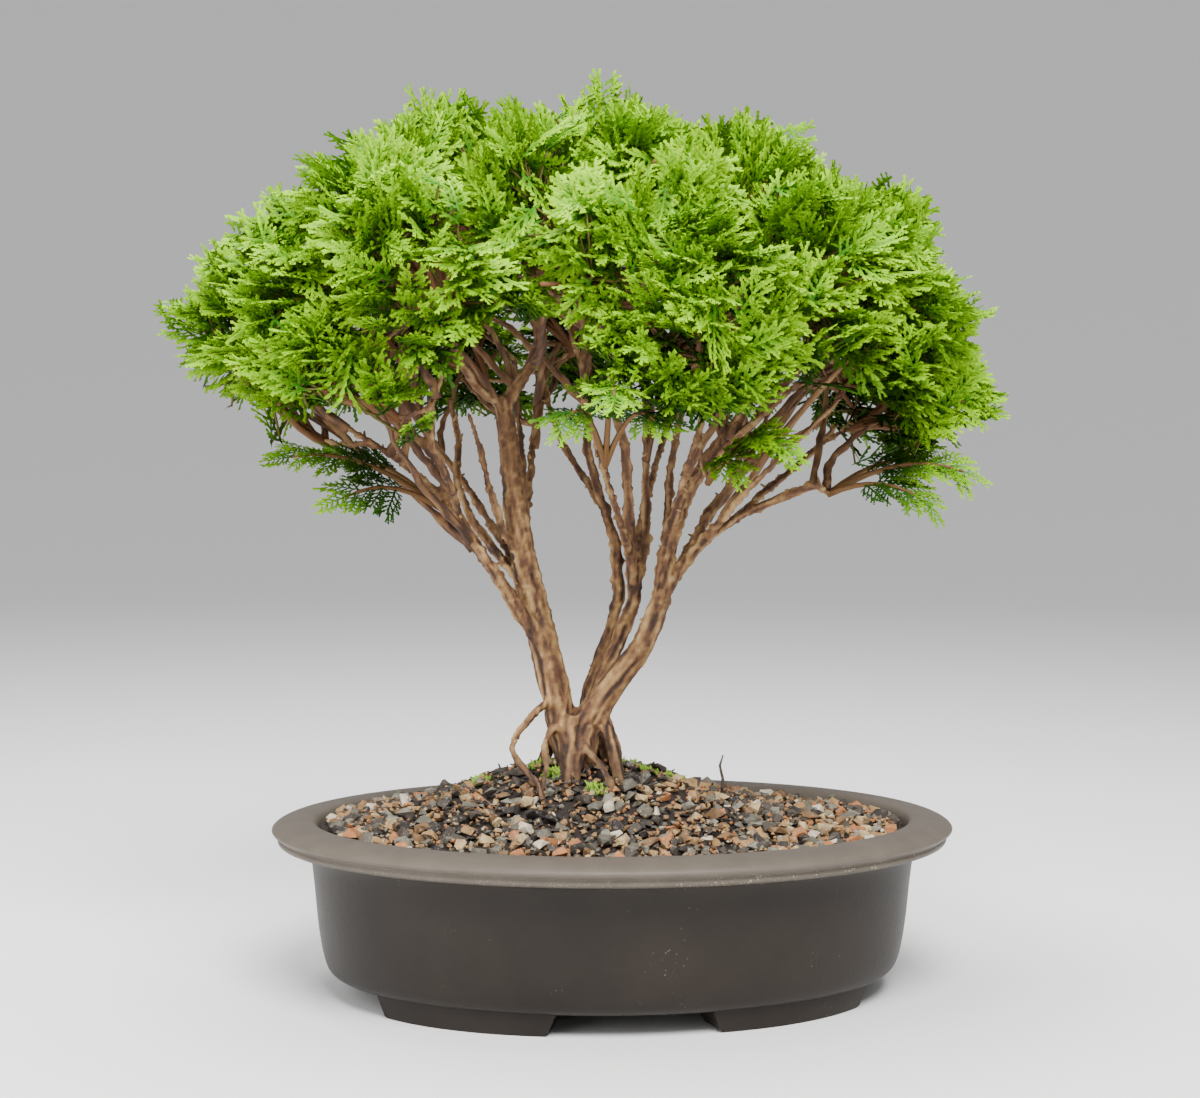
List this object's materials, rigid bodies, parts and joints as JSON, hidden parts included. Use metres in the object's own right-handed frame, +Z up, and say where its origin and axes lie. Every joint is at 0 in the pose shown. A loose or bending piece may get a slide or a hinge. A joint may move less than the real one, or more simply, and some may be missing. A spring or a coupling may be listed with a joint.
{
  "type": "potted bonsai conifer",
  "caption": "Small multi-trunk bonsai cypress with fine fern-like sprays on slender branches, rooted in a low heap of grit in a dark oval clay pot on short feet.",
  "frame": {"origin": "middle of the whole bonsai's footprint, on the surface that the pot's feet stand on", "axes": "+X along the pot's long side to the viewer's right, +Y away from the viewer of the picture, +Z up"},
  "size_m": [0.194, 0.1458, 0.2027],
  "materials": {
    "clay": "unglazed, faintly satin on the lip",
    "grit": "matt mixed grit",
    "bark": "rough flaky bark",
    "leaf": "soft satin scale leaves",
    "screen_plastic": "matt black"
  },
  "bodies": {
    "root": {"drain_screen_left": "screen_plastic", "drain_screen_right": "screen_plastic", "pot": "clay", "soil": "grit", "spray_front_hanging": "leaf", "spray_front_right": "leaf", "spray_low_left": "leaf", "spray_low_right": "leaf", "tuft_01": "leaf", "tuft_02": "leaf", "tuft_03": "leaf", "tuft_04": "leaf", "tuft_05": "leaf", "tuft_06": "leaf", "tuft_07": "leaf", "tuft_08": "leaf", "tuft_09": "leaf", "tuft_10": "leaf", "tuft_11": "leaf", "tuft_12": "leaf", "tuft_13": "leaf", "tuft_14": "leaf", "tuft_15": "leaf", "tuft_16": "leaf", "tuft_17": "leaf", "tuft_18": "leaf", "tuft_19": "leaf", "tuft_20": "leaf", "tuft_21": "leaf", "tuft_22": "leaf", "tuft_23": "leaf", "tuft_24": "leaf", "tuft_25": "leaf", "tuft_26": "leaf", "tuft_27": "leaf", "tuft_28": "leaf", "tuft_29": "leaf", "tuft_30": "leaf", "tuft_31": "leaf", "tuft_32": "leaf", "tuft_33": "leaf", "wood": "bark"}
  },
  "joints": []
}
